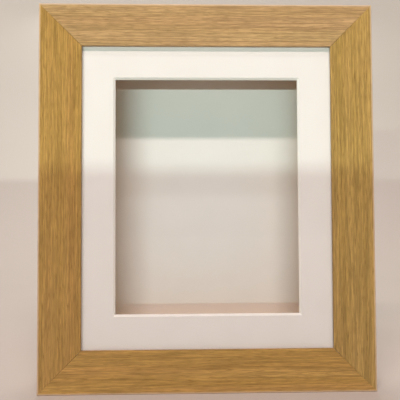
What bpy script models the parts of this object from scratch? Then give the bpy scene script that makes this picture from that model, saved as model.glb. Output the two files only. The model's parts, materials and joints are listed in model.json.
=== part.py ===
"""Shadow box: a deep, mitred oak-veneer frame with glass, a bevel-cut window mat, wood spacers, a backing
board and a removable back panel held by turn buttons, with strap hangers and wall bumpers on the rear.

Metres, +Z up. The front faces -Y, the box stands on its bottom edge at z = 0, and the origin is the centre of
the bottom of the bounding box.
"""

import math

import bmesh
import bpy
from mathutils import Matrix, Vector

# ------------------------------------------------------------------ driving dimensions
INCH = 0.0254
GAP = 0.0003                      # clearance between touching pieces

BOARD_W = 10 * INCH               # nominal board size that the rabbet takes
BOARD_H = 12 * INCH
BOARD_SLACK = 0.0005              # boards are cut this much short of the rabbet on each side

FACE_W = 1.625 * INCH             # width of the moulding's face
RABBET_W = 0.25 * INCH            # how far the lip covers the boards
DEPTH = 2.5 * INCH                # front face to rear face of the moulding
LIP_T = 0.0026                    # thickness of the lip in front of the glass
EASE_R = 0.0012                   # eased outer front edge
EASE_SMALL = 0.0004               # eased sight edge and rear outer edge

GLASS_T = 0.0012
MAT_T = 0.0020
SPACER_DEPTH = 0.0502
SPACER_T = 0.0190
BACKING_T = 0.0030
BACK_T = 0.0030

WINDOW_W = 0.1778                 # opening in the mat, at its rear edge
WINDOW_H = 0.2274
WINDOW_RISE = 0.0006              # the window sits this much above the mat's middle
MAT_BEVEL = 0.0020                # 45 degree bevel, as wide as the mat is thick

BUTTON_T = 0.0015
BUTTON_IN = 0.0110                # pivot's distance outside the rabbet wall
BUTTON_REACH = 0.0215             # pivot to tip
BUTTON_BIG_R = 0.0058
BUTTON_TIP_R = 0.0040
BUTTON_SIDE_Z = 0.100             # pivots above and below the middle of each stile
BUTTON_END_X = 0.070              # pivots left and right of the middle of each rail

SCREW_R = 0.0016
SCREW_HEAD_R = 0.0033
SCREW_HEAD_H = 0.0020
SCREW_LEN = 0.0160

STRAP_T = 0.0010
STRAP_W = 0.0130
STRAP_LEN = 0.0360
STRAP_U = 0.0240                  # strap centre line, outward from the sight edge
STRAP_Z = 0.2400                  # height of the ring's bar
RING_WIRE_R = 0.0012
RING_HALF_W = 0.0106
RING_DROP = 0.0170
STRAP_HOLES = (0.0100, 0.0270)    # below the ring's bar

BUMPER_R = 0.0060
BUMPER_T = 0.0055
BUMPER_IN = 0.0120                # centre's distance from both outer edges

NAIL_U = (0.0120, 0.0220)         # apex of each V-nail, outward from the sight edge
NAIL_LEG = 0.0045
NAIL_T = 0.0006
NAIL_H = 0.0120
NAIL_SPREAD = math.radians(48)    # each leg's angle off the mitre line

NOTCH_R = 0.0090                  # finger notch in the back panel

# ------------------------------------------------------------------ derived dimensions
SIGHT_W = BOARD_W - 2 * RABBET_W
SIGHT_H = BOARD_H - 2 * RABBET_W
OUTER_W = SIGHT_W + 2 * FACE_W
OUTER_H = SIGHT_H + 2 * FACE_W
MID_Z = OUTER_H / 2
PIECE_W = BOARD_W - 2 * BOARD_SLACK
PIECE_H = BOARD_H - 2 * BOARD_SLACK

# distances behind the front face
GLASS_V = LIP_T + GAP
MAT_V = GLASS_V + GLASS_T + GAP
SPACER_V = MAT_V + MAT_T + GAP
BACKING_V = SPACER_V + SPACER_DEPTH + GAP
BACK_V = BACKING_V + BACKING_T + GAP
REAR_V = DEPTH
STRAP_V = REAR_V + GAP
EYE_IN_R = RING_WIRE_R + GAP
EYE_OUT_R = EYE_IN_R + STRAP_T
EYE_V = STRAP_V + EYE_OUT_R
TOTAL_DEPTH = REAR_V + GAP + BUMPER_T
FACE_Y = -TOTAL_DEPTH / 2         # the front face's y, so that y = 0 is the middle of the whole depth

AX_U = {"top": (0, 1), "bottom": (0, -1), "left": (-1, 0), "right": (1, 0)}


def clear_scene():
    for obj in list(bpy.data.objects):
        bpy.data.objects.remove(obj, do_unlink=True)


clear_scene()

parts = bpy.data.collections.new("shadow_box")
cutters = bpy.data.collections.new("cutters")
bpy.context.scene.collection.children.link(parts)
bpy.context.scene.collection.children.link(cutters)


# ------------------------------------------------------------------ materials
def material(name, colour, roughness, metallic=0.0, transmission=0.0):
    mat = bpy.data.materials.new(name)
    mat.use_nodes = True
    shader = mat.node_tree.nodes["Principled BSDF"]
    shader.inputs["Base Color"].default_value = (*colour, 1.0)
    shader.inputs["Roughness"].default_value = roughness
    shader.inputs["Metallic"].default_value = metallic
    if transmission:
        shader.inputs["Transmission Weight"].default_value = transmission
    mat.diffuse_color = (*colour, 1.0)
    return mat


OAK = material("oak_veneer", (0.47, 0.31, 0.13), 0.52)
GLASS = material("picture_glass", (0.95, 0.98, 0.96), 0.02, 0.0, 1.0)
MAT_BOARD = material("mat_board", (0.88, 0.86, 0.82), 0.85)
RAW_WOOD = material("bare_wood", (0.55, 0.39, 0.20), 0.68)
WHITE_BOARD = material("white_board", (0.86, 0.86, 0.83), 0.80)
HARDBOARD = material("hardboard", (0.30, 0.18, 0.09), 0.70)
ZINC = material("zinc_plated_steel", (0.62, 0.62, 0.60), 0.34, 1.0)
NAIL_STEEL = material("nail_steel", (0.40, 0.41, 0.43), 0.45, 1.0)
RUBBER = material("bumper_rubber", (0.03, 0.03, 0.03), 0.75)


# ------------------------------------------------------------------ helpers
def link(obj, collection, mat=None):
    collection.objects.link(obj)
    if mat is not None:
        obj.data.materials.clear()
        obj.data.materials.append(mat)
    if collection is cutters:
        obj.hide_render = True
        obj.display_type = "WIRE"
    return obj


def smooth(obj, angle=35.0):
    obj.data.shade_smooth()
    obj.data.set_sharp_from_angle(angle=math.radians(angle))
    return obj


def add_box(name, size, centre, collection, mat=None, parent=None):
    """A box of that size, with its origin at its centre."""
    bm = bmesh.new()
    bmesh.ops.create_cube(bm, size=1.0)
    bmesh.ops.scale(bm, vec=Vector(size), verts=bm.verts)
    mesh = bpy.data.meshes.new(name)
    bm.to_mesh(mesh)
    bm.free()
    obj = link(bpy.data.objects.new(name, mesh), collection, mat)
    obj.location = centre
    if parent is not None:
        obj.parent = parent
        obj.location = Vector(centre) - parent.location
    return obj


def add_cylinder(name, radius, depth, matrix, collection, segments=20, mat=None):
    """A cylinder along its own Z, from 0 to depth."""
    bm = bmesh.new()
    bmesh.ops.create_cone(bm, cap_ends=True, segments=segments, radius1=radius, radius2=radius, depth=depth)
    bmesh.ops.translate(bm, vec=(0, 0, depth / 2), verts=bm.verts)
    mesh = bpy.data.meshes.new(name)
    bm.to_mesh(mesh)
    bm.free()
    obj = link(bpy.data.objects.new(name, mesh), collection, mat)
    obj.matrix_world = matrix
    return obj


def outline_mesh(name, outlines, half_thickness):
    """A mesh from closed flat outlines (the first is outside, others are holes), extruded both ways along Z."""
    curve = bpy.data.curves.new(name + "_outline", "CURVE")
    curve.dimensions = "2D"
    curve.fill_mode = "BOTH"
    curve.extrude = half_thickness
    for points in outlines:
        spline = curve.splines.new("POLY")
        spline.points.add(len(points) - 1)
        for point, (x, y) in zip(spline.points, points):
            point.co = (x, y, 0, 1)
        spline.use_cyclic_u = True
    guide = bpy.data.objects.new(name + "_outline", curve)
    bpy.context.scene.collection.objects.link(guide)
    bpy.context.view_layer.update()
    graph = bpy.context.evaluated_depsgraph_get()
    mesh = bpy.data.meshes.new_from_object(guide.evaluated_get(graph))
    mesh.name = name
    bpy.data.objects.remove(guide, do_unlink=True)
    bm = bmesh.new()
    bm.from_mesh(mesh)
    bmesh.ops.remove_doubles(bm, verts=bm.verts, dist=1e-7)
    bmesh.ops.recalc_face_normals(bm, faces=bm.faces)
    bm.to_mesh(mesh)
    bm.free()
    return mesh


def arc(cx, cy, r, start, end, steps):
    """Points on an arc, with angles in degrees."""
    return [
        (
            cx + r * math.cos(math.radians(start + (end - start) * i / steps)),
            cy + r * math.sin(math.radians(start + (end - start) * i / steps)),
        )
        for i in range(steps + 1)
    ]


def cut(obj, cutter, name):
    modifier = obj.modifiers.new(name, "BOOLEAN")
    modifier.operation = "DIFFERENCE"
    modifier.solver = "EXACT"
    modifier.object = cutter


def basis(x, y, z, at):
    """A matrix whose columns are these axes, at that place."""
    m = Matrix((x, y, z)).transposed().to_4x4()
    m.translation = Vector(at)
    return m


def empty(name, at):
    obj = bpy.data.objects.new(name, None)
    obj.empty_display_size = 0.02
    obj.location = at
    parts.objects.link(obj)
    return obj


def at_depth(v):
    return FACE_Y + v


frame_group = empty("frame", (0, 0, 0))
back_group = empty("back", (0, at_depth(BACK_V + BACK_T / 2), MID_Z))

REARWARD = Vector((0, 1, 0))


def edge_point(side, u, along, v):
    """A point on the moulding of that side: u outward from the sight edge, along it from its middle, v behind the face."""
    ox, oz = AX_U[side]
    half = SIGHT_W / 2 if ox else SIGHT_H / 2
    x = ox * (half + u) + (0 if ox else along)
    z = MID_Z + oz * (half + u) + (along if ox else 0)
    return Vector((x, at_depth(v), z))


# ------------------------------------------------------------------ the moulding
def moulding_profile():
    """The moulding's section: (outward from the sight edge, depth behind the face)."""
    e = EASE_SMALL
    section = arc(e, e, e, 180, 270, 2)
    section += arc(FACE_W - EASE_R, EASE_R, EASE_R, 270, 360, 4)
    section += arc(FACE_W - e, DEPTH - e, e, 0, 90, 2)
    section += [(RABBET_W, DEPTH), (RABBET_W, LIP_T), (0, LIP_T)]
    return section


def nail_outline(grow):
    """A V in plan, with its apex at the origin and its legs opening towards -X, thickened to each side."""
    t = NAIL_T / 2 + grow
    leg = NAIL_LEG + grow
    back = Vector((-math.cos(NAIL_SPREAD), math.sin(NAIL_SPREAD)))
    side = Vector((back.y, -back.x))
    apex_out = t / math.sin(NAIL_SPREAD)
    upper_end = back * leg
    outer = upper_end + side * t
    inner = upper_end - side * t
    return [
        (apex_out, 0.0),
        (outer.x, outer.y),
        (inner.x, inner.y),
        (-apex_out, 0.0),
        (inner.x, -inner.y),
        (outer.x, -outer.y),
    ]


nail_mesh = outline_mesh("corner_nail", [nail_outline(0.0)], NAIL_H / 2)
slot_mesh = outline_mesh("nail_slot", [nail_outline(GAP)], (NAIL_H + 0.0010) / 2 + GAP)
NAIL_MID_V = REAR_V - 0.0002 - NAIL_H / 2
SLOT_MID_V = NAIL_MID_V + 0.0005

corner_slots = {}
for corner, sx, sz in (
    ("top_left", -1, 1),
    ("top_right", 1, 1),
    ("bottom_left", -1, -1),
    ("bottom_right", 1, -1),
):
    outward = Vector((sx, 0, sz)).normalized()
    across = REARWARD.cross(outward)
    for index, u in enumerate(NAIL_U, start=1):
        place = Vector((sx * (SIGHT_W / 2 + u), 0, MID_Z + sz * (SIGHT_H / 2 + u)))
        slot = link(bpy.data.objects.new(f"slot_{corner}_{index}", slot_mesh.copy()), cutters)
        slot.matrix_world = basis(outward, across, REARWARD, place + REARWARD * at_depth(SLOT_MID_V))
        corner_slots.setdefault(corner, []).append(slot)
        nail = link(bpy.data.objects.new(f"corner_nail_{corner}_{index}", nail_mesh.copy()), parts, NAIL_STEEL)
        nail.matrix_world = slot.matrix_world.copy()
        nail.location = place + REARWARD * at_depth(NAIL_MID_V)

# where the screws go: (label, side, outward from the sight edge, along the side from its middle)
button_places = []
for side in ("left", "right"):
    for label, along in (("upper", BUTTON_SIDE_Z), ("lower", -BUTTON_SIDE_Z)):
        button_places.append((f"{side}_{label}", side, RABBET_W + BUTTON_IN, along))
for side in ("top", "bottom"):
    for label, along in (("left", -BUTTON_END_X), ("right", BUTTON_END_X)):
        button_places.append((f"{side}_{label}", side, RABBET_W + BUTTON_IN, along))
strap_screw_places = []
for side in ("left", "right"):
    for label, drop in zip(("upper", "lower"), STRAP_HOLES):
        strap_screw_places.append((f"{side}_{label}", side, STRAP_U, STRAP_Z - drop - MID_Z))

RAIL_CORNERS = {
    "top": ("top_left", "top_right"),
    "bottom": ("bottom_left", "bottom_right"),
    "left": ("top_left", "bottom_left"),
    "right": ("top_right", "bottom_right"),
}
RAIL_NAMES = {"top": "rail_top", "bottom": "rail_bottom", "left": "stile_left", "right": "stile_right"}


def add_rail(side):
    """One mitred length of moulding, with its V-nail slots and pilot holes."""
    ox, oz = AX_U[side]
    half = (SIGHT_H if ox else SIGHT_W) / 2
    mesh = outline_mesh(RAIL_NAMES[side], [moulding_profile()], half + FACE_W + 0.004)
    rail = link(bpy.data.objects.new(RAIL_NAMES[side], mesh), parts, OAK)
    outward = Vector((ox, 0, oz))
    lengthways = outward.cross(REARWARD)
    start = edge_point(side, 0, 0, 0)
    place = basis(outward, REARWARD, lengthways, start)
    rail.matrix_world = place
    for end in (1, -1):
        normal = Vector((-1, 0, end)).normalized()
        flat = Vector((0, 1, 0)).cross(normal)
        size = 0.20
        on_plane = Vector((0, DEPTH / 2, end * half)) - normal * (GAP / 2)
        block = add_box(f"mitre_{side}_{'a' if end > 0 else 'b'}", (size, size, size), (0, 0, 0), cutters)
        block.matrix_world = place @ basis(flat, Vector((0, 1, 0)), normal, on_plane + normal * size / 2)
        cut(rail, block, "mitre")
    for corner in RAIL_CORNERS[side]:
        for slot in corner_slots[corner]:
            cut(rail, slot, "nail_slot")
    spots = [p for p in button_places + strap_screw_places if p[1] == side]
    for label, _, u, along in spots:
        mouth = edge_point(side, u, along, REAR_V + 0.002)
        inward = -REARWARD
        pilot = add_cylinder(
            f"pilot_{label}",
            SCREW_R + GAP,
            SCREW_LEN + 0.002,
            basis(Vector((1, 0, 0)), Vector((0, 0, 1)), inward, mouth),
            cutters,
            segments=16,
        )
        cut(rail, pilot, "pilot_hole")
    rail.parent = frame_group
    return smooth(rail, 30)


for side in ("top", "bottom", "left", "right"):
    add_rail(side)

# ------------------------------------------------------------------ glass, mat, spacers, boards
add_box(
    "glass_pane",
    (PIECE_W, GLASS_T, PIECE_H),
    (0, at_depth(GLASS_V + GLASS_T / 2), MID_Z),
    parts,
    GLASS,
    frame_group,
)

window_mat = add_box(
    "window_mat",
    (PIECE_W, MAT_T, PIECE_H),
    (0, at_depth(MAT_V + MAT_T / 2), MID_Z),
    parts,
    MAT_BOARD,
    frame_group,
)


def add_window_cutter():
    """A tapered block: the window at the mat's rear face, wider by the bevel at its front face."""
    over = 0.0010
    bm = bmesh.new()
    bmesh.ops.create_cube(bm, size=1.0)
    slope = MAT_BEVEL / MAT_T
    for v in bm.verts:
        front = v.co.y < 0
        grow = MAT_BEVEL + slope * over if front else -slope * over
        v.co.x = math.copysign(WINDOW_W / 2 + grow, v.co.x)
        v.co.z = math.copysign(WINDOW_H / 2 + grow, v.co.z)
        v.co.y = -(MAT_T / 2 + over) if front else MAT_T / 2 + over
    mesh = bpy.data.meshes.new("window_cutter")
    bm.to_mesh(mesh)
    bm.free()
    obj = link(bpy.data.objects.new("window_cutter", mesh), cutters)
    obj.location = (0, at_depth(MAT_V + MAT_T / 2), MID_Z + WINDOW_RISE)
    return obj


cut(window_mat, add_window_cutter(), "window")

spacer_y = at_depth(SPACER_V + SPACER_DEPTH / 2)
for label, sign in (("top", 1), ("bottom", -1)):
    add_box(
        f"spacer_{label}",
        (PIECE_W, SPACER_DEPTH, SPACER_T),
        (0, spacer_y, MID_Z + sign * (PIECE_H - SPACER_T) / 2),
        parts,
        RAW_WOOD,
        frame_group,
    )
for label, sign in (("left", -1), ("right", 1)):
    add_box(
        f"spacer_{label}",
        (SPACER_T, SPACER_DEPTH, PIECE_H - 2 * SPACER_T - 2 * GAP),
        (sign * (PIECE_W - SPACER_T) / 2, spacer_y, MID_Z),
        parts,
        RAW_WOOD,
        frame_group,
    )

add_box(
    "backing_board",
    (PIECE_W, BACKING_T, PIECE_H),
    (0, at_depth(BACKING_V + BACKING_T / 2), MID_Z),
    parts,
    WHITE_BOARD,
    back_group,
)
back_panel = add_box(
    "back_panel",
    (PIECE_W, BACK_T, PIECE_H),
    (0, at_depth(BACK_V + BACK_T / 2), MID_Z),
    parts,
    HARDBOARD,
    back_group,
)
notch = add_cylinder(
    "finger_notch",
    NOTCH_R,
    0.012,
    basis(Vector((1, 0, 0)), Vector((0, 0, 1)), -REARWARD, (0, at_depth(REAR_V + 0.004), MID_Z + PIECE_H / 2)),
    cutters,
    segments=40,
)
cut(back_panel, notch, "finger_notch")


# ------------------------------------------------------------------ screws
def screw_mesh():
    """A pan-head wood screw turned about Z: the head's underside at z = 0, the point at -SCREW_LEN."""
    r, h = SCREW_HEAD_R, SCREW_HEAD_H
    # from the axis at the top of the head, down the outside to the point
    profile = [(0.0, h)]
    profile += [(r * math.sin(math.radians(a)) * 0.98, h - (1 - math.cos(math.radians(a))) * h * 0.75) for a in (30, 58, 80)]
    profile += [(r, h * 0.15), (r * 0.97, 0.0), (SCREW_R, 0.0), (SCREW_R, -SCREW_LEN + 0.004), (0.0, -SCREW_LEN)]
    steps = 20
    bm = bmesh.new()
    rings = []
    for radius, z in profile:
        if radius == 0.0:
            rings.append([bm.verts.new((0, 0, z))])
        else:
            rings.append([bm.verts.new((radius, 0, z))])
    for a, b in zip(rings, rings[1:]):
        bm.edges.new((a[0], b[0]))
    bmesh.ops.spin(
        bm,
        geom=list(bm.verts) + list(bm.edges),
        cent=(0, 0, 0),
        axis=(0, 0, 1),
        angle=math.tau,
        steps=steps,
        use_merge=True,
    )
    bmesh.ops.remove_doubles(bm, verts=bm.verts, dist=1e-6)
    bmesh.ops.recalc_face_normals(bm, faces=bm.faces)
    mesh = bpy.data.meshes.new("wood_screw")
    bm.to_mesh(mesh)
    bm.free()
    return mesh


pan_screw = screw_mesh()
pan_screw.materials.append(ZINC)
pan_screw.shade_smooth()
pan_screw.set_sharp_from_angle(angle=math.radians(50))

BUTTON_V = REAR_V + GAP
SCREW_FRAME = (Vector((1, 0, 0)), Vector((0, 0, -1)), REARWARD)

for label, side, u, along in button_places:
    screw = bpy.data.objects.new(f"button_screw_{label}", pan_screw)
    parts.objects.link(screw)
    screw.matrix_world = basis(*SCREW_FRAME, edge_point(side, u, along, BUTTON_V + BUTTON_T + GAP))
for label, side, u, along in strap_screw_places:
    screw = bpy.data.objects.new(f"strap_screw_{label}", pan_screw)
    parts.objects.link(screw)
    screw.matrix_world = basis(*SCREW_FRAME, edge_point(side, u, along, STRAP_V + STRAP_T + GAP))


# ------------------------------------------------------------------ turn buttons
def button_outline():
    """A tapered tab about its pivot: a round end of BUTTON_BIG_R, narrowing to a round tip."""
    reach = BUTTON_REACH - BUTTON_TIP_R
    tilt = math.degrees(math.asin((BUTTON_BIG_R - BUTTON_TIP_R) / reach))
    points = arc(0, 0, BUTTON_BIG_R, 90 - tilt, 270 + tilt, 16)
    points += arc(reach, 0, BUTTON_TIP_R, -90 + tilt, 90 - tilt, 10)
    return points


button_mesh = outline_mesh(
    "turn_button",
    [button_outline(), arc(0, 0, SCREW_R + GAP, 0, 360 - 360 / 16, 15)],
    BUTTON_T / 2,
)
button_mesh.materials.append(ZINC)

# the way each blade lies when it is turned clear of the back panel
OPEN_WAY = {"left": (0, 1), "right": (0, -1), "top": (1, 0), "bottom": (-1, 0)}
for label, side, u, along in button_places:
    wx, wz = OPEN_WAY[side]
    blade = Vector((wx, 0, wz))
    button = bpy.data.objects.new(f"turn_button_{label}", button_mesh)
    parts.objects.link(button)
    pivot = edge_point(side, u, along, BUTTON_V + BUTTON_T / 2)
    button.matrix_world = basis(blade, REARWARD.cross(blade), REARWARD, pivot)


# ------------------------------------------------------------------ strap hangers and D-rings
def strap_profile():
    """Side view of the strap: (height above the ring's bar, distance off the rail's rear face)."""
    t, inner, outer = STRAP_T, EYE_IN_R, EYE_OUT_R
    wrap_end = 205
    # outside of the curl: from the underside, round the top, to its end near the plate
    profile = arc(0, outer, outer, -90, wrap_end, 22)
    # inside of the curl, back again to where it meets the plate's upper face
    profile += arc(0, outer, inner, wrap_end, -90, 20)
    profile += [(-STRAP_LEN, t), (-STRAP_LEN, 0.0)]
    return profile


strap_mesh = outline_mesh("hanger_strap", [strap_profile()], STRAP_W / 2)
bm = bmesh.new()
bm.from_mesh(strap_mesh)
far_edges = [
    e
    for e in bm.edges
    if all(v.co.x < -STRAP_LEN + 1e-5 for v in e.verts)
    and abs(e.verts[0].co.z - e.verts[1].co.z) < 1e-6
    and abs(e.verts[0].co.y - e.verts[1].co.y) > STRAP_T / 2
]
bmesh.ops.bevel(bm, geom=far_edges, offset=0.0050, segments=5, profile=0.5, affect="EDGES", offset_type="OFFSET")
bm.to_mesh(strap_mesh)
bm.free()
strap_mesh.materials.append(ZINC)


def ring_path():
    """The D-ring's centre line in its own plane: the straight bar on top, the bow hanging below it."""
    w, corner = RING_HALF_W, 0.0030
    points = arc(-w + corner, -corner, corner, 180, 90, 4)
    points += arc(w - corner, -corner, corner, 90, 0, 4)
    bow = RING_DROP - corner
    steps = 16
    for i in range(1, steps):
        a = math.pi * i / steps
        points.append((w * math.cos(a), -corner - bow * math.sin(a)))
    return points


def add_ring(name, at, group):
    curve = bpy.data.curves.new(name, "CURVE")
    curve.dimensions = "3D"
    curve.bevel_depth = RING_WIRE_R
    curve.bevel_resolution = 2
    curve.use_fill_caps = True
    spline = curve.splines.new("POLY")
    path = ring_path()
    spline.points.add(len(path) - 1)
    for point, (x, z) in zip(spline.points, path):
        point.co = (x, 0, z, 1)
    spline.use_cyclic_u = True
    ring = link(bpy.data.objects.new(name, curve), parts, ZINC)
    ring.location = at
    return ring


for side in ("left", "right"):
    eye = edge_point(side, STRAP_U, STRAP_Z - MID_Z, EYE_V)
    strap = bpy.data.objects.new(f"hanger_strap_{side}", strap_mesh)
    parts.objects.link(strap)
    base = edge_point(side, STRAP_U, STRAP_Z - MID_Z, STRAP_V)
    strap.matrix_world = basis(Vector((0, 0, 1)), REARWARD, Vector((-1, 0, 0)), base)
    for label, drop in zip(("upper", "lower"), STRAP_HOLES):
        hole = add_cylinder(
            f"strap_hole_{side}_{label}",
            SCREW_R + GAP,
            0.004,
            basis(Vector((1, 0, 0)), Vector((0, 0, 1)), -REARWARD, base + Vector((0, 0.002, -drop))),
            cutters,
            segments=16,
        )
        cut(strap, hole, "screw_hole")
    add_ring(f"hanger_ring_{side}", eye, None)


# ------------------------------------------------------------------ wall bumpers
def bumper_mesh():
    """A round pad about Z with a rounded rim, from z = 0 to BUMPER_T."""
    bm = bmesh.new()
    bmesh.ops.create_cone(bm, cap_ends=True, segments=32, radius1=BUMPER_R, radius2=BUMPER_R, depth=BUMPER_T)
    bmesh.ops.translate(bm, vec=(0, 0, BUMPER_T / 2), verts=bm.verts)
    rim = [e for e in bm.edges if all(v.co.z > BUMPER_T - 1e-6 for v in e.verts)]
    bmesh.ops.bevel(bm, geom=rim, offset=0.0012, segments=3, profile=0.5, affect="EDGES")
    mesh = bpy.data.meshes.new("bumper")
    bm.to_mesh(mesh)
    bm.free()
    mesh.materials.append(RUBBER)
    mesh.shade_smooth()
    mesh.set_sharp_from_angle(angle=math.radians(30))
    return mesh


pad = bumper_mesh()
for v_label, sz in (("top", 1), ("bottom", -1)):
    for h_label, sx in (("left", -1), ("right", 1)):
        bumper = bpy.data.objects.new(f"bumper_{v_label}_{h_label}", pad)
        parts.objects.link(bumper)
        spot = Vector(
            (
                sx * (OUTER_W / 2 - BUMPER_IN),
                at_depth(REAR_V + GAP),
                MID_Z + sz * (OUTER_H / 2 - BUMPER_IN),
            )
        )
        bumper.matrix_world = basis(*SCREW_FRAME, spot)
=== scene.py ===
"""Shadow box: finer pieces, materials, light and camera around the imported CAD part. Metres, +Z up, front faces -Y."""

import json
import math
import random

import bmesh
import bpy
from mathutils import Matrix, Vector


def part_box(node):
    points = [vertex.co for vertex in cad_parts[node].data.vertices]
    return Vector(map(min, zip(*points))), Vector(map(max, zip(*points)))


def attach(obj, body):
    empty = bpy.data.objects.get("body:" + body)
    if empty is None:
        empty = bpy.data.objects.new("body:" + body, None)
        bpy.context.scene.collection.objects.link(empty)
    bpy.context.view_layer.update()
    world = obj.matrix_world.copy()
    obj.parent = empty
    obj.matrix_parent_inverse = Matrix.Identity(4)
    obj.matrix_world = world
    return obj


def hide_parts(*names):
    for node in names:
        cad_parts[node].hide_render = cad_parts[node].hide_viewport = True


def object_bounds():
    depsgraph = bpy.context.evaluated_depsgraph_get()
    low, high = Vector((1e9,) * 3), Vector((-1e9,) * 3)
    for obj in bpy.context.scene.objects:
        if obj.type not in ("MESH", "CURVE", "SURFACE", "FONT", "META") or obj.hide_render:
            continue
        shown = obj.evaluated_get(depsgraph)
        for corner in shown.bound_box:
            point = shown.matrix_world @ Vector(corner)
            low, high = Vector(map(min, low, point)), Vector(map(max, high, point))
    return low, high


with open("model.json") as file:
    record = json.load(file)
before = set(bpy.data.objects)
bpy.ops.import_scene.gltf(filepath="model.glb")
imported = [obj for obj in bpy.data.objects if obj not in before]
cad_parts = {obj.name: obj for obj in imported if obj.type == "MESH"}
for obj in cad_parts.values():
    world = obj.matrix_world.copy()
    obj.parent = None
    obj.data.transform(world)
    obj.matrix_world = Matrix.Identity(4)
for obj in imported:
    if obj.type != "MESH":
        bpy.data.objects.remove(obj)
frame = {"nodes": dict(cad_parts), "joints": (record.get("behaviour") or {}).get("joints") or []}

CAD_BOX = [list(corner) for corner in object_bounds()]
(LO, HI) = (Vector(CAD_BOX[0]), Vector(CAD_BOX[1]))
REST = bpy.context.scene.collection

# ------------------------------------------------------------------ places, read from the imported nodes
GAP = 0.0003
FACE_Y = LO.y
MID_Z = (LO.z + HI.z) / 2
OUT_W = HI.x - LO.x
OUT_H = HI.z - LO.z
FACE_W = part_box("stile_left")[1].x - LO.x                      # face width of the moulding
SIGHT_W = OUT_W - 2 * FACE_W
SIGHT_H = OUT_H - 2 * FACE_W
REAR_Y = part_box("stile_left")[1].y                             # rear face of the moulding
DEPTH = REAR_Y - FACE_Y
LIP_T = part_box("glass_pane")[0].y - GAP - FACE_Y
RABBET_W = 0.00635
EASE_R = 0.0012
EASE_SMALL = 0.0004
REARWARD = Vector((0, 1, 0))
OUTWARD = {"top": Vector((0, 0, 1)), "bottom": Vector((0, 0, -1)), "left": Vector((-1, 0, 0)), "right": Vector((1, 0, 0))}
RAILS = {"top": "rail_top", "bottom": "rail_bottom", "left": "stile_left", "right": "stile_right"}


def basis(x, y, z, at):
    """A matrix whose columns are these axes, at that place."""
    m = Matrix((x, y, z)).transposed().to_4x4()
    m.translation = Vector(at)
    return m


def edge_point(side, u, along, y):
    """A point on the moulding of that side: u outward from the sight edge, along it from its middle."""
    out = OUTWARD[side]
    half = SIGHT_W / 2 if out.x else SIGHT_H / 2
    p = out * (half + u) + Vector((0, y, MID_Z))
    return p + (Vector((0, 0, along)) if out.x else Vector((along, 0, 0)))


def middle(node):
    lo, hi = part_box(node)
    return (lo + hi) / 2


# ------------------------------------------------------------------ node material helpers
class Shade:
    """A small writer for material node trees."""

    def __init__(self, name):
        self.material = bpy.data.materials.new(name)
        self.material.use_nodes = True
        self.tree = self.material.node_tree
        self.tree.nodes.clear()

    def node(self, kind, inputs=None, **settings):
        n = self.tree.nodes.new("ShaderNode" + kind)
        for key, value in settings.items():
            setattr(n, key, value)
        for key, value in (inputs or {}).items():
            socket = n.inputs[key]
            if isinstance(value, bpy.types.NodeSocket):
                self.tree.links.new(value, socket)
            else:
                socket.default_value = value
        return n

    def coords(self):
        return self.node("TexCoord").outputs["Object"]

    def axes(self, vector):
        n = self.node("SeparateXYZ", {0: vector})
        return n.outputs[0], n.outputs[1], n.outputs[2]

    def join(self, x, y, z):
        return self.node("CombineXYZ", {0: x, 1: y, 2: z}).outputs[0]

    def math(self, operation, a, b=0.0, c=0.0, clamp=False):
        n = self.node("Math", operation=operation, use_clamp=clamp)
        for socket, value in zip(n.inputs, (a, b, c)):
            if isinstance(value, bpy.types.NodeSocket):
                self.tree.links.new(value, socket)
            else:
                socket.default_value = value
        return n.outputs[0]

    def scaled(self, vector, scale, offset=(0, 0, 0)):
        return self.node("Mapping", {"Vector": vector, "Scale": scale, "Location": offset}).outputs[0]

    def noise(self, vector, scale=1.0, detail=2.0, roughness=0.5, distortion=0.0):
        return self.node(
            "TexNoise",
            {"Vector": vector, "Scale": scale, "Detail": detail, "Roughness": roughness, "Distortion": distortion},
        ).outputs["Fac"]

    def cells(self, vector, scale=1.0, feature="F1"):
        return self.node("TexVoronoi", {"Vector": vector, "Scale": scale}, feature=feature).outputs["Distance"]

    def ramp(self, factor, stops, interpolation="LINEAR"):
        n = self.node("ValToRGB", {"Fac": factor})
        band = n.color_ramp
        band.interpolation = interpolation
        while len(band.elements) < len(stops):
            band.elements.new(0.5)
        for element, (at, colour) in zip(band.elements, stops):
            element.position = at
            element.color = (*colour, 1.0) if isinstance(colour, tuple) else (colour, colour, colour, 1.0)
        return n.outputs["Color"]

    def range(self, value, low, high, to_low=0.0, to_high=1.0):
        n = self.node(
            "MapRange",
            {"Value": value, "From Min": low, "From Max": high, "To Min": to_low, "To Max": to_high},
            clamp=True,
        )
        return n.outputs[0]

    def mix(self, factor, a, b, blend="MIX"):
        n = self.node("Mix", data_type="RGBA", blend_type=blend)
        for socket, value in ((n.inputs[0], factor), (n.inputs[6], a), (n.inputs[7], b)):
            if isinstance(value, bpy.types.NodeSocket):
                self.tree.links.new(value, socket)
            elif isinstance(value, tuple):
                socket.default_value = (*value, 1.0)
            else:
                socket.default_value = value
        return n.outputs[2]

    def bump(self, height, distance, strength=1.0, normal=None):
        inputs = {"Height": height, "Distance": distance, "Strength": strength}
        if normal is not None:
            inputs["Normal"] = normal
        return self.node("Bump", inputs).outputs[0]

    def principled(self, colour, roughness, normal=None, **fixed):
        inputs = {"Base Color": colour, "Roughness": roughness}
        if normal is not None:
            inputs["Normal"] = normal
        inputs.update(fixed)
        return self.node("BsdfPrincipled", inputs)

    def finish(self, shader):
        out = self.node("OutputMaterial")
        self.tree.links.new(shader.outputs[0], out.inputs["Surface"])
        return self.material


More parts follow.
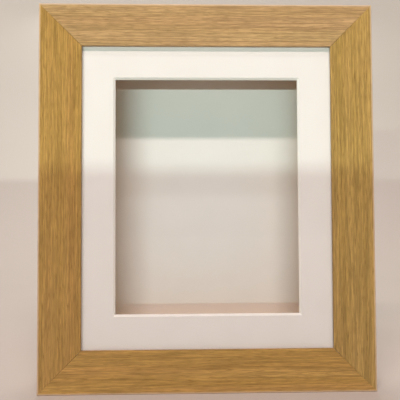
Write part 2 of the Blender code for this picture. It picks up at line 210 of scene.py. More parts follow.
def wood(name, along, seed, light, dark, red, pore, pore_depth=0.5, edge_highlight=None, rough=(0.40, 0.56), bump=1.0, fine=1.0):
    """Straight-grained wood, its grain along X or Z. The colours are the clear wood, its darker lines, a redder band and the pores."""
    s = Shade(name)
    x, y, z = s.axes(s.coords())
    length, across = (x, z) if along == "X" else (z, x)
    depth = y

    # the lines wander a little along their length
    wander = s.noise(s.join(s.math("MULTIPLY", length, 5.0), s.math("MULTIPLY", across, 12.0), seed), detail=1.0)
    drift = s.math("MULTIPLY", s.math("SUBTRACT", wander, 0.5), 0.0011)
    across_w = s.math("ADD", across, drift)
    depth_w = s.math("ADD", depth, drift)

    def grain(along_scale, across_scale, shift, detail=2.0, roughness=0.5, distortion=0.0):
        v = s.join(
            s.math("MULTIPLY_ADD", length, along_scale, seed * 3.1 + shift),
            s.math("MULTIPLY", across_w, across_scale),
            s.math("MULTIPLY_ADD", depth_w, across_scale * 0.8, shift * 1.7 + seed),
        )
        return s.noise(v, detail=detail, roughness=roughness, distortion=distortion)

    bands = grain(2.4, 110.0, 1.3, detail=0.8)
    redness = grain(3.0, 105.0, 7.7, detail=0.6)
    lines = grain(15.0, 620.0 * fine, 2.9, detail=0.3, roughness=0.5)
    hairs = grain(75.0, 1150.0 * fine, 5.1, detail=1.0, roughness=0.5)
    ticks = grain(105.0, 1350.0 * fine, 9.4, detail=1.0)
    pores = grain(170.0, 3600.0 * fine, 11.6, detail=1.0)
    flecks = grain(46.0, 420.0, 4.4, detail=1.0)

    colour = s.mix(s.range(bands, 0.30, 0.70, 0.28, 0.72), light, dark)
    colour = s.mix(s.math("MULTIPLY", s.range(redness, 0.48, 0.72), 0.30), colour, red)
    shade = s.range(lines, 0.36, 0.64, 0.86, 1.12)
    colour = s.mix(1.0, colour, s.join(shade, shade, shade), "MULTIPLY")
    shade = s.range(hairs, 0.36, 0.64, 0.84, 1.12)
    colour = s.mix(1.0, colour, s.join(shade, shade, shade), "MULTIPLY")
    tick = s.math("MULTIPLY", s.range(ticks, 0.60, 0.72), pore_depth)
    colour = s.mix(tick, colour, pore)
    small = s.math("MULTIPLY", s.range(pores, 0.62, 0.74), pore_depth * 0.7)
    colour = s.mix(small, colour, pore)
    fleck = s.math("MULTIPLY", s.range(flecks, 0.66, 0.76), 0.10)
    colour = s.mix(fleck, colour, (min(light[0] * 1.25, 1), min(light[1] * 1.25, 1), min(light[2] * 1.4, 1)))

    if edge_highlight is not None:
        # a painted highlight: paler wood along the eased outer edge of the face, where the rounding catches light
        pale, amount = edge_highlight
        ex = s.math("SUBTRACT", s.math("ABSOLUTE", x), OUT_W / 2)
        ez = s.math("SUBTRACT", s.math("ABSOLUTE", s.math("SUBTRACT", z, MID_Z)), OUT_H / 2)
        out = s.math("MAXIMUM", ex, ez)
        highlight_break = s.noise(s.join(s.math("MULTIPLY", length, 120.0), s.math("MULTIPLY", across, 300.0), seed), detail=3.0)
        edge = s.math("MULTIPLY_ADD", s.math("SUBTRACT", highlight_break, 0.5), 0.0009, out)
        outer = s.range(edge, -0.0022, -0.0009)
        front = s.range(y, FACE_Y + 0.0012, FACE_Y + 0.0026, 1.0, 0.0)
        highlight_mask = s.math("MULTIPLY", s.math("MULTIPLY", outer, front), amount)
        colour = s.mix(highlight_mask, colour, pale)

    height = s.math("ADD", s.math("MULTIPLY", lines, 0.5), s.math("MULTIPLY", hairs, 0.5))
    height = s.math("SUBTRACT", height, s.math("MULTIPLY", s.range(ticks, 0.58, 0.72), 0.8))
    height = s.math("SUBTRACT", height, s.math("MULTIPLY", s.range(pores, 0.60, 0.74), 0.5))
    normal = s.bump(height, 0.00009 * bump, 0.6)
    roughness = s.range(s.math("ADD", s.math("MULTIPLY", bands, 0.5), s.math("MULTIPLY", ticks, 0.5)), 0.35, 0.65, *rough)
    return s.finish(s.principled(colour, roughness, normal))


def paper(name, colour, tint, fibre=0.02, bump=0.00003, rough=(0.78, 0.92), mottle=0.03):
    """Matt board: soft mottling, short fibres lying every way and a slight tooth."""
    s = Shade(name)
    at = s.coords()
    cloud = s.noise(s.scaled(at, (22, 22, 22)), detail=3.0, roughness=0.6)
    fibres_a = s.noise(s.scaled(at, (260, 900, 1500), (3, 1, 7)), detail=2.0, distortion=0.4)
    fibres_b = s.noise(s.scaled(at, (1500, 900, 260), (8, 5, 2)), detail=2.0, distortion=0.4)
    tooth = s.noise(s.scaled(at, (2600, 2600, 2600)), detail=2.0, roughness=0.6)
    base = s.mix(s.range(cloud, 0.35, 0.65), colour, tint)
    both = s.math("ADD", fibres_a, fibres_b)
    shade = s.range(both, 0.75, 1.25, 1.0 - fibre, 1.0 + fibre * 0.4)
    base = s.mix(1.0, base, s.join(shade, shade, shade), "MULTIPLY")
    spot = s.math("MULTIPLY", s.range(tooth, 0.68, 0.78), mottle)
    base = s.mix(spot, base, (tint[0] * 0.72, tint[1] * 0.68, tint[2] * 0.6))
    height = s.math("ADD", s.math("MULTIPLY", both, 0.4), s.math("MULTIPLY", tooth, 0.6))
    roughness = s.range(s.math("ADD", s.math("MULTIPLY", cloud, 0.4), s.math("MULTIPLY", tooth, 0.6)), 0.35, 0.65, *rough)
    return s.finish(s.principled(base, roughness, s.bump(height, bump, 0.5), **{"Specular IOR Level": 0.35}))


def hardboard(name):
    """Pressed brown hardboard: matted fibres, darker specks and a smooth pressed sheen."""
    s = Shade(name)
    at = s.coords()
    cloud = s.noise(s.scaled(at, (28, 28, 28)), detail=4.0, roughness=0.65)
    mat_a = s.noise(s.scaled(at, (420, 900, 1100), (2, 0, 5)), detail=4.0, roughness=0.7, distortion=1.2)
    mat_b = s.noise(s.scaled(at, (1200, 900, 380), (6, 3, 1)), detail=4.0, roughness=0.7, distortion=1.2)
    speck = s.noise(s.scaled(at, (1900, 1900, 1900)), detail=1.0)
    weave = s.math("MULTIPLY", s.math("ADD", mat_a, mat_b), 0.5)
    colour = s.ramp(weave, [(0.34, (0.145, 0.078, 0.036)), (0.50, (0.235, 0.135, 0.065)), (0.66, (0.345, 0.215, 0.112))])
    tone = s.range(cloud, 0.32, 0.68, 0.93, 1.06)
    colour = s.mix(1.0, colour, s.join(tone, tone, tone), "MULTIPLY")
    colour = s.mix(s.math("MULTIPLY", s.range(speck, 0.66, 0.74), 0.5), colour, (0.06, 0.032, 0.018))
    roughness = s.range(weave, 0.36, 0.64, 0.46, 0.68)
    return s.finish(s.principled(colour, roughness, s.bump(weave, 0.00010, 0.5)))


def metal(name, light, dark, tint, rough=(0.26, 0.46), scratch=0.5, spots=0.0):
    """Plated steel: a soft uneven plate, fine handling scratches and duller patches."""
    s = Shade(name)
    at = s.coords()
    cloud = s.noise(s.scaled(at, (240, 240, 240)), detail=3.0, roughness=0.6)
    hue = s.noise(s.scaled(at, (420, 420, 420), (4, 9, 2)), detail=2.0)
    lines_a = s.noise(s.scaled(at, (900, 9000, 9000), (1, 2, 3)), detail=2.0)
    lines_b = s.noise(s.scaled(at, (9000, 7000, 1100), (7, 4, 6)), detail=2.0)
    grit = s.noise(s.scaled(at, (5200, 5200, 5200)), detail=2.0)
    colour = s.mix(s.range(cloud, 0.34, 0.66), light, dark)
    colour = s.mix(s.math("MULTIPLY", s.range(hue, 0.45, 0.70), 0.45), colour, tint)
    scratches = s.math("MAXIMUM", s.range(lines_a, 0.62, 0.72), s.range(lines_b, 0.64, 0.74))
    colour = s.mix(s.math("MULTIPLY", scratches, scratch * 0.4), colour, tuple(min(c * 1.2, 1.0) for c in light))
    if spots:
        rust = s.math("MULTIPLY", s.range(s.noise(s.scaled(at, (900, 900, 900)), detail=3.0), 0.60, 0.70), spots)
        colour = s.mix(rust, colour, (0.16, 0.075, 0.035))
    roughness = s.range(s.math("ADD", s.math("MULTIPLY", cloud, 0.6), s.math("MULTIPLY", grit, 0.4)), 0.36, 0.64, *rough)
    height = s.math("SUBTRACT", s.math("MULTIPLY", grit, 0.35), s.math("MULTIPLY", scratches, scratch))
    return s.finish(s.principled(colour, roughness, s.bump(height, 0.000014, 0.5), Metallic=1.0))


def rubber(name):
    s = Shade(name)
    at = s.coords()
    grain = s.noise(s.scaled(at, (2600, 2600, 2600)), detail=3.0)
    dust = s.noise(s.scaled(at, (520, 520, 520), (3, 3, 3)), detail=3.0)
    colour = s.mix(s.range(grain, 0.35, 0.65), (0.016, 0.016, 0.017), (0.032, 0.031, 0.030))
    colour = s.mix(s.math("MULTIPLY", s.range(dust, 0.56, 0.74), 0.30), colour, (0.16, 0.15, 0.13))
    roughness = s.range(dust, 0.35, 0.65, 0.60, 0.84)
    return s.finish(s.principled(colour, roughness, s.bump(grain, 0.00005, 0.6)))


def pane(name, tint):
    """Clear picture glass: a reflection that grows with the angle over what is behind it, with faint waves and finger haze."""
    s = Shade(name)
    at = s.coords()
    wave = s.noise(s.scaled(at, (9, 9, 9)), detail=1.0)
    haze = s.noise(s.scaled(at, (34, 34, 34), (5, 2, 8)), detail=3.0)
    through = s.node("BsdfTransparent", {"Color": (*tint, 1.0)})
    mirror = s.node(
        "BsdfGlossy",
        {"Color": (1, 1, 1, 1), "Roughness": s.range(haze, 0.45, 0.75, 0.015, 0.10), "Normal": s.bump(wave, 0.0002, 0.2)},
    )
    # a Schlick curve on Facing is the same from both sides, so lamps at a slant still reach what is behind;
    # coated low-reflection glass, so it starts near 1% a face
    facing = s.node("LayerWeight", {"Blend": 0.5}).outputs["Facing"]
    factor = s.math("MULTIPLY_ADD", s.math("POWER", facing, 5.0), 0.62, 0.010)
    both = s.node("MixShader", {0: factor, 1: through.outputs[0], 2: mirror.outputs[0]})
    return s.finish(both)


# oak veneer, with its grain along each length and a figure of its own; each side is also toned for how light falls on
# it: a painted sheen makes the top rail paler and bluer, and painted shade makes the other sides darker
OAK_LIGHT, OAK_DARK, OAK_RED = (0.520, 0.318, 0.118), (0.405, 0.236, 0.072), (0.520, 0.270, 0.112)
# the second colour below is a painted highlight for the eased outer edge of the face
OAK_PORE, OAK_HIGHLIGHT = (0.250, 0.135, 0.040), (0.720, 0.560, 0.400)


def toned_for_light(colour, tone):
    return tuple(min(c * t, 1.0) for c, t in zip(colour, tone))


OAK = {
    side: wood(
        f"oak_{side}",
        "X" if side in ("top", "bottom") else "Z",
        seed,
        toned_for_light(OAK_LIGHT, tone),
        toned_for_light(OAK_DARK, tone),
        toned_for_light(OAK_RED, tone),
        toned_for_light(OAK_PORE, tone),
        0.62,
        # a painted highlight along the eased outer edge of the face
        edge_highlight=(OAK_HIGHLIGHT, 0.75),
    )
    for side, seed, tone in (
        # each tone is painted light: sheen on the top rail, shade on the stiles and bottom rail
        ("top", 2.3, (0.95, 1.06, 1.38)),
        ("bottom", 15.8, (0.97, 1.00, 0.82)),
        ("left", 31.4, (0.875, 0.895, 0.73)),
        ("right", 47.9, (0.89, 0.98, 0.86)),
    )
}
BARE = {
    axis: wood(
        f"bare_wood_{axis.lower()}",
        axis,
        seed,
        (0.880, 0.580, 0.240),
        (0.760, 0.465, 0.175),
        (0.820, 0.480, 0.195),
        (0.440, 0.240, 0.085),
        0.45,
        rough=(0.62, 0.80),
        bump=1.6,
        fine=0.8,
    )
    for axis, seed in (("X", 5.0), ("Z", 22.0))
}
# the top fillet is darker wood, painted shade for the top of the recess under the mat
BARE_SHADE = wood(
    "bare_wood_painted_shade",
    "X",
    61.0,
    (0.520, 0.290, 0.085),
    (0.430, 0.230, 0.065),
    (0.480, 0.240, 0.075),
    (0.260, 0.125, 0.040),
    0.45,
    rough=(0.62, 0.80),
    bump=1.6,
    fine=0.8,
)
MAT_FACE = paper("mat_paper", (0.832, 0.812, 0.800), (0.815, 0.793, 0.778), fibre=0.018)
# the mat's back is brown: painted shade, which browns and darkens the light bounced into the recess
MAT_BACK_SHADE = paper("mat_back_painted_shade", (0.430, 0.280, 0.130), (0.380, 0.240, 0.105), fibre=0.060, bump=0.00005, mottle=0.10)
MAT_CORE = paper("mat_core", (0.925, 0.918, 0.900), (0.900, 0.892, 0.870), fibre=0.030, bump=0.00006, mottle=0.02)
BACK_WHITE = paper("backing_white", (0.814, 0.838, 0.832), (0.795, 0.818, 0.810), fibre=0.022)
HARD = hardboard("hardboard")
ZINC = metal("zinc_plate", (0.66, 0.665, 0.66), (0.53, 0.53, 0.52), (0.62, 0.58, 0.47))
STEEL = metal("nail_steel", (0.42, 0.43, 0.45), (0.30, 0.30, 0.31), (0.34, 0.30, 0.26), rough=(0.34, 0.58), spots=0.5)
RUBBER = rubber("bumper_rubber")
GLASS = pane("picture_glass", (0.988, 0.994, 0.990))
GLASS_EDGE = pane("picture_glass_edge", (0.62, 0.86, 0.76))


# ------------------------------------------------------------------ mesh helpers
def arc(cx, cy, r, start, end, steps):
    return [
        (
            cx + r * math.cos(math.radians(start + (end - start) * i / steps)),
            cy + r * math.sin(math.radians(start + (end - start) * i / steps)),
        )
        for i in range(steps + 1)
    ]


def new_object(name, bm, materials, sharp=35.0):
    bmesh.ops.recalc_face_normals(bm, faces=bm.faces)
    mesh = bpy.data.meshes.new(name)
    bm.to_mesh(mesh)
    bm.free()
    for m in materials:
        mesh.materials.append(m)
    mesh.shade_smooth()
    mesh.set_sharp_from_angle(angle=math.radians(sharp))
    obj = bpy.data.objects.new(name, mesh)
    REST.objects.link(obj)
    return obj


def settle(obj, sharp=None):
    """Applies the modifiers to the object's own mesh."""
    bpy.context.view_layer.update()
    graph = bpy.context.evaluated_depsgraph_get()
    mesh = bpy.data.meshes.new_from_object(obj.evaluated_get(graph))
    obj.modifiers.clear()
    old = obj.data
    obj.data = mesh
    mesh.name = old.name
    bpy.data.meshes.remove(old)
    if sharp is not None:
        mesh.shade_smooth()
        mesh.set_sharp_from_angle(angle=math.radians(sharp))
    return obj


def difference(obj, cutters):
    for c in cutters:
        modifier = obj.modifiers.new("cut", "BOOLEAN")
        modifier.operation = "DIFFERENCE"
        modifier.solver = "EXACT"
        modifier.object = c
    settle(obj)
    for c in cutters:
        bpy.data.objects.remove(c, do_unlink=True)
    return obj


def prism(name, outline, low, high, matrix, materials=(), sharp=35.0):
    """An outline in the local XY plane, from z = low to z = high."""
    bm = bmesh.new()
    rings = [[bm.verts.new((x, y, z)) for x, y in outline] for z in (low, high)]
    n = len(outline)
    for i in range(n):
        bm.faces.new((rings[0][i], rings[0][(i + 1) % n], rings[1][(i + 1) % n], rings[1][i]))
    bm.faces.new(list(reversed(rings[0])))
    bm.faces.new(rings[1])
    bm.transform(matrix)
    return new_object(name, bm, materials, sharp)


def round_block(name, lo, hi, r, materials, steps=2):
    """A block with every edge eased."""
    bm = bmesh.new()
    bmesh.ops.create_cube(bm, size=1.0)
    size, centre = Vector(hi) - Vector(lo), (Vector(lo) + Vector(hi)) / 2
    bmesh.ops.scale(bm, vec=size, verts=bm.verts)
    bmesh.ops.translate(bm, vec=centre, verts=bm.verts)
    bmesh.ops.bevel(bm, geom=list(bm.edges), offset=r, segments=steps, profile=0.5, affect="EDGES", clamp_overlap=True)
    # weighted normals keep the flat faces' shading flat beside each eased edge
    obj = new_object(name, bm, materials, 50.0)
    return flat_shaded_faces(obj)


def flat_shaded_faces(obj):
    """Keeps large flat faces flat and eased edges smooth, by weighting the normals by area."""
    modifier = obj.modifiers.new("weights", "WEIGHTED_NORMAL")
    modifier.mode = "FACE_AREA"
    modifier.weight = 100
    modifier.keep_sharp = True
    return settle(obj)


def lathe(profile, steps):
    """A closed turned shape about Z. The profile runs from axis to axis as (radius, z)."""
    bm = bmesh.new()
    rings = []
    for radius, z in profile:
        if radius <= 1e-9:
            rings.append([bm.verts.new((0, 0, z))])
        else:
            rings.append(
                [bm.verts.new((radius * math.cos(math.tau * i / steps), radius * math.sin(math.tau * i / steps), z)) for i in range(steps)]
            )
    for a, b in zip(rings, rings[1:]):
        for i in range(steps):
            j = (i + 1) % steps
            if len(a) == 1:
                bm.faces.new((a[0], b[i], b[j]))
            elif len(b) == 1:
                bm.faces.new((a[i], b[0], a[j]))
            else:
                bm.faces.new((a[i], b[i], b[j], a[j]))
    return bm


def piece(obj, node, body):
    """The finer piece that stands for one CAD node."""
    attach(obj, body)
    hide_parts(node)
    return obj


# ------------------------------------------------------------------ the moulding
NAIL_U = (0.0120, 0.0220)
NAIL_LEG, NAIL_T, NAIL_H = 0.0045, 0.0006, 0.0120
NAIL_SPREAD = math.radians(48)
CORNERS = {"top_left": (-1, 1), "top_right": (1, 1), "bottom_left": (-1, -1), "bottom_right": (1, -1)}
RAIL_CORNERS = {
    "top": ("top_left", "top_right"),
    "bottom": ("bottom_left", "bottom_right"),
    "left": ("top_left", "bottom_left"),
    "right": ("top_right", "bottom_right"),
}
SCREW_R, SCREW_HEAD_R, SCREW_HEAD_H, SCREW_LEN = 0.0016, 0.0033, 0.0020, 0.0160


def nail_outline(grow):
    t = NAIL_T / 2 + grow
    leg = NAIL_LEG + grow
    back = Vector((-math.cos(NAIL_SPREAD), math.sin(NAIL_SPREAD)))
    side = Vector((back.y, -back.x))
    apex = t / math.sin(NAIL_SPREAD)
    outer = back * leg + side * t
    inner = back * leg - side * t
    return [(apex, 0.0), (outer.x, outer.y), (inner.x, inner.y), (-apex, 0.0), (inner.x, -inner.y), (outer.x, -outer.y)]


def nail_place(corner, index, y):
    sx, sz = CORNERS[corner]
    outward = Vector((sx, 0, sz)).normalized()
    at = Vector((sx * (SIGHT_W / 2 + NAIL_U[index]), y, MID_Z + sz * (SIGHT_H / 2 + NAIL_U[index])))
    return basis(outward, REARWARD.cross(outward), REARWARD, at)


screw_nodes = [n for n in frame["nodes"] if n.startswith(("button_screw_", "strap_screw_"))]


def moulding_section():
    """(outward from the sight edge, behind the face), with a point beside each arc so that flat faces shade flat."""
    e, near = EASE_SMALL, 0.00008
    section = arc(e, e, e, 180, 270, 4)
    section += [(e + near, 0.0), (FACE_W - EASE_R - near, 0.0)]
    section += arc(FACE_W - EASE_R, EASE_R, EASE_R, 270, 360, 8)
    section += [(FACE_W, EASE_R + near), (FACE_W, DEPTH - e - near)]
    section += arc(FACE_W - e, DEPTH - e, e, 0, 90, 4)
    section += [(FACE_W - e - near, DEPTH), (RABBET_W, DEPTH), (RABBET_W, LIP_T), (0.0, LIP_T), (0.0, e + near)]
    return section


def joint_gap(u):
    """Half the open line at the mitre: clearest at the sight edge, closing towards the outside."""
    t = min(max(u / FACE_W, 0.0), 1.0)
    return 0.00015 * max(0.0, 1 - t / 0.72) + 0.000008


def moulding(side):
    out = OUTWARD[side]
    half = (SIGHT_H if out.x else SIGHT_W) / 2
    lengthways = Vector((0, 0, 1)) if out.x else Vector((1, 0, 0))
    origin = edge_point(side, 0, 0, FACE_Y)
    section = moulding_section()
    bm = bmesh.new()
    rings = []
    for end in (-1, 1):
        ring = []
        for u, v in section:
            along = end * (half + u - math.sqrt(2) * joint_gap(u))
            ring.append(bm.verts.new(origin + out * u + REARWARD * v + lengthways * along))
        rings.append(ring)
    n = len(section)
    for i in range(n):
        bm.faces.new((rings[0][i], rings[0][(i + 1) % n], rings[1][(i + 1) % n], rings[1][i]))
    bm.faces.new(rings[0])
    bm.faces.new(rings[1])
    name = f"oak_{RAILS[side]}"
    obj = new_object(name, bm, [OAK[side], BARE["Z" if out.x else "X"]], 30.0)
    cutters = []
    for corner in RAIL_CORNERS[side]:
        for index in (0, 1):
            place = nail_place(corner, index, REAR_Y)
            cutters.append(prism("slot", nail_outline(0.00006), -NAIL_H - 0.0003, 0.001, place))
    for node in screw_nodes:
        at = middle(node)
        u = (at - origin).dot(out)
        if 0 < u < FACE_W and abs((at - origin).dot(lengthways)) < half:
            bore = prism("pilot", arc(0, 0, SCREW_R + 0.00004, 0, 360 - 360 / 24, 23), -SCREW_LEN + 0.002, 0.002, basis(Vector((1, 0, 0)), Vector((0, 0, -1)), REARWARD, (at.x, REAR_Y, at.z)))
            cutters.append(bore)
    difference(obj, cutters)
    for face in obj.data.polygons:
        c, nrm = face.center, face.normal
        u = (c - origin).dot(out)
        v = c.y - FACE_Y
        skin = (
            (nrm.y < -0.3 and v < 0.0015)
            or (nrm.dot(out) > 0.2 and u > FACE_W - EASE_R)
            or (nrm.dot(out) < -0.2 and u < 0.0006 and v < LIP_T)
        )
        face.material_index = 0 if skin else 1
    obj.data.shade_smooth()
    obj.data.set_sharp_from_angle(angle=math.radians(30))
    return piece(obj, RAILS[side], "frame")


for side in RAILS:
    moulding(side)

for corner in CORNERS:
    for index in (0, 1):
        node = f"corner_nail_{corner}_{index + 1}"
        lo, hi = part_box(node)
        nail = prism(f"v_nail_{corner}_{index + 1}", nail_outline(-0.00002), lo.y, hi.y - 0.00004, nail_place(corner, index, 0.0), [STEEL])
        modifier = nail.modifiers.new("ease", "BEVEL")
        modifier.width, modifier.segments, modifier.limit_method, modifier.angle_limit = 0.00007, 1, "ANGLE", math.radians(40)
        settle(nail, 30.0)
        piece(nail, node, "frame")


# ------------------------------------------------------------------ glass, mat, spacers, boards
def glass_sheet():
    lo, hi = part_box("glass_pane")
    obj = round_block("glass_sheet", lo, hi, 0.00025, [GLASS, GLASS_EDGE], steps=2)
    for face in obj.data.polygons:
        face.material_index = 0 if abs(face.normal.y) > 0.99 else 1
    return piece(obj, "glass_pane", "frame")


def window_mat():
    """The mat: eased outer edges, and a window cut through on a 45 degree bevel that shows the white core."""
    lo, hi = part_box("window_mat")
    mesh = frame["nodes"]["window_mat"].data
    inner = [v.co for v in mesh.vertices if abs(v.co.x) < hi.x - 0.001 and abs(v.co.z - MID_Z) < (hi.z - lo.z) / 2 - 0.001]
    rear = [c for c in inner if c.y > hi.y - 0.0002]
    x1, z0, z1 = max(c.x for c in rear), min(c.z for c in rear), max(c.z for c in rear)
    thick = hi.y - lo.y
    e, r = 0.00020, 0.00014
    # loops from the outer rear edge, over the front and down the bevel: (outer half grow, y), inner: (window grow, y)
    outer = [(-e, hi.y), (0.0, hi.y - e), (0.0, lo.y + e), (-e, lo.y)]
    window = [
        (thick + 0.0010, lo.y),
        (thick + r * 1.2, lo.y),
        (thick + r * 0.25, lo.y + r * 0.25),
        (thick - r, lo.y + r),
        (r * 0.8, hi.y - r * 0.8),
        (r * 0.15, hi.y - r * 0.25),
        (r * 0.5, hi.y),
        (0.0010, hi.y),
    ]
    bm = bmesh.new()
    loops = []
    for grow, y in outer:
        a, b, c = hi.x + grow, lo.z - grow, hi.z + grow
        loops.append([bm.verts.new(p) for p in ((-a, y, b), (a, y, b), (a, y, c), (-a, y, c))])
    for grow, y in window:
        a, b, c = x1 + grow, z0 - grow, z1 + grow
        loops.append([bm.verts.new(p) for p in ((-a, y, b), (a, y, b), (a, y, c), (-a, y, c))])
    loops.append(loops[0])
    for k, (a, b) in enumerate(zip(loops, loops[1:])):
        for i in range(4):
            j = (i + 1) % 4
            face = bm.faces.new((a[i], a[j], b[j], b[i]))
            face.material_index = 1 if 6 <= k <= 9 else 2 if k in (0, 10, 11) else 0
    obj = new_object("mat_board", bm, [MAT_FACE, MAT_CORE, MAT_BACK_SHADE], 40.0)
    flat_shaded_faces(obj)
    return piece(obj, "window_mat", "frame")


def spacer(label):
    node = f"spacer_{label}"
    lo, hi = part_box(node)
    along = "X" if label in ("top", "bottom") else "Z"
    # the top fillet takes the darker wood, painted shade
    stock = BARE_SHADE if label == "top" else BARE[along]
    obj = round_block(f"wood_{node}", lo, hi, 0.00045, [stock], steps=3)
    return piece(obj, node, "frame")


glass_sheet()
window_mat()
for label in ("top", "bottom", "left", "right"):
    spacer(label)

lo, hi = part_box("backing_board")
piece(round_block("backing_card", lo, hi, 0.00025, [BACK_WHITE], steps=2), "backing_board", "back")


def back_panel():
    """Hardboard back with a half-round finger notch in its top edge."""
    lo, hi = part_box("back_panel")
    notch = 0.0090
    outline = [(lo.x, lo.z), (hi.x, lo.z), (hi.x, hi.z)]
    outline += [(x, hi.z + z) for x, z in arc(0, 0, notch, 0, -180, 40)]
    outline += [(lo.x, hi.z)]
    place = basis(Vector((1, 0, 0)), Vector((0, 0, 1)), Vector((0, -1, 0)), (0, 0, 0))
    obj = prism("hardboard_back", outline, -hi.y, -lo.y, place, [HARD])
    modifier = obj.modifiers.new("ease", "BEVEL")
    modifier.width, modifier.segments, modifier.limit_method, modifier.angle_limit = 0.00035, 2, "ANGLE", math.radians(40)
    modifier = obj.modifiers.new("weights", "WEIGHTED_NORMAL")
    modifier.mode, modifier.weight, modifier.keep_sharp = "FACE_AREA", 100, True
    settle(obj)
    return piece(obj, "back_panel", "back")


back_panel()


# ------------------------------------------------------------------ screws
def screw_mesh():
    """A pan-head wood screw about Z: the head's underside at z = 0, a rolled thread, and a cross recess."""
    r, h = SCREW_HEAD_R, SCREW_HEAD_H
    profile = [(0.0, h)]
    profile += [(r * math.sin(math.radians(a)) * 0.98, h - (1 - math.cos(math.radians(a))) * h * 0.75) for a in range(8, 86, 7)]
    profile += [(r, h * 0.17), (r, h * 0.10), (r * 0.985, h * 0.02), (r * 0.96, 0.0), (SCREW_R + 0.0002, 0.0), (SCREW_R - 0.0001, -0.0003), (0.0, -0.0003)]
    head_bm = lathe(profile, 40)
    head = new_object("screw_head", head_bm, [ZINC], 45.0)
    cutters = []
    for turn in (0, math.pi / 2):
        bm = bmesh.new()
        top, low = h + 0.0004, h - 0.00135
        shape = []
        for z, half_l, half_w in ((low, 0.00055, 0.00026), (top, 0.00205, 0.00042)):
            shape.append([bm.verts.new(p) for p in ((-half_l, -half_w, z), (half_l, -half_w, z), (half_l, half_w, z), (-half_l, half_w, z))])
        for i in range(4):
            j = (i + 1) % 4
            bm.faces.new((shape[0][i], shape[0][j], shape[1][j], shape[1][i]))
        bm.faces.new(list(reversed(shape[0])))
        bm.faces.new(shape[1])
        bm.transform(Matrix.Rotation(turn, 4, "Z"))
        cutters.append(new_object("recess", bm, []))
    difference(head, cutters)

    # the threaded shank: a helix of ridges, fading to the point
    bm = bmesh.new()
    around, pitch, rows_per = 16, 0.0014, 7
    start, end = -0.0002, -SCREW_LEN
    rows = int(round((start - end) / pitch * rows_per))
    core, full = 0.00112, SCREW_R
    rings = []
    for k in range(rows + 1):
        z = start + (end - start) * k / rows
        t = (z - end) / 0.0040
        taper = min(1.0, max(0.0, t)) ** 0.8
        fade = min(1.0, max(0.0, (start - z - 0.0022) / 0.0012))
        ring = []
        for i in range(around):
            a = math.tau * i / around
            phase = ((-z / pitch) - i / around) % 1.0
            ridge = max(0.0, 1 - abs(phase - 0.5) * 3.4)
            smooth_r = full * (1 - fade) * 0.93 + (core + (full - core) * ridge) * fade
            radius = max(smooth_r * taper, 0.00004)
            ring.append(bm.verts.new((radius * math.cos(a), radius * math.sin(a), z)))
        rings.append(ring)
    for a, b in zip(rings, rings[1:]):
        for i in range(around):
            j = (i + 1) % around
            bm.faces.new((a[i], a[j], b[j], b[i]))
    bm.faces.new(rings[0])
    bm.faces.new(list(reversed(rings[-1])))
    shank = new_object("screw_shank", bm, [ZINC], 60.0)

    joined = bmesh.new()
    joined.from_mesh(head.data)
    joined.from_mesh(shank.data)
    mesh = bpy.data.meshes.new("wood_screw")
    joined.to_mesh(mesh)
    joined.free()
    mesh.materials.append(ZINC)
    mesh.shade_smooth()
    mesh.set_sharp_from_angle(angle=math.radians(42))
    bpy.data.objects.remove(head, do_unlink=True)
    bpy.data.objects.remove(shank, do_unlink=True)
    return mesh


SCREW = screw_mesh()
rng = random.Random(88)
for node in sorted(screw_nodes):
    lo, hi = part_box(node)
    c = (lo + hi) / 2
    obj = bpy.data.objects.new(node.replace("screw", "pan_screw"), SCREW)
    REST.objects.link(obj)
    turn = Matrix.Rotation(rng.uniform(0, math.pi / 2), 4, "Z")
    obj.matrix_world = basis(Vector((1, 0, 0)), Vector((0, 0, -1)), REARWARD, (c.x, hi.y - SCREW_HEAD_H, c.z)) @ turn
    piece(obj, node, "frame")


# ------------------------------------------------------------------ turn buttons
BUTTON_BIG_R, BUTTON_TIP_R, BUTTON_REACH, BUTTON_T = 0.0058, 0.0040, 0.0215, 0.0015
OPEN_WAY = {"left": (0, 1), "right": (0, -1), "top": (1, 0), "bottom": (-1, 0)}


def button_radius(a):
    """Distance from the pivot to the tapered tab's outline, in the direction a."""
    reach = BUTTON_REACH - BUTTON_TIP_R
    tilt = math.asin((BUTTON_BIG_R - BUTTON_TIP_R) / reach)
    a = abs((a + math.pi) % math.tau - math.pi)
    edge = math.pi / 2 - tilt
    if a >= edge:
        return BUTTON_BIG_R
    # the straight side: n . p = BUTTON_BIG_R with n at the angle edge
    straight = BUTTON_BIG_R / math.cos(edge - a)
    # the tip circle
    b = reach * math.cos(a)
    d = b * b - (reach * reach - BUTTON_TIP_R**2)
    tip = b + math.sqrt(d) if d >= 0 else 0.0
    tip_start = Vector((reach + BUTTON_TIP_R * math.cos(edge), BUTTON_TIP_R * math.sin(edge)))
    return tip if a <= math.atan2(tip_start.y, tip_start.x) else straight


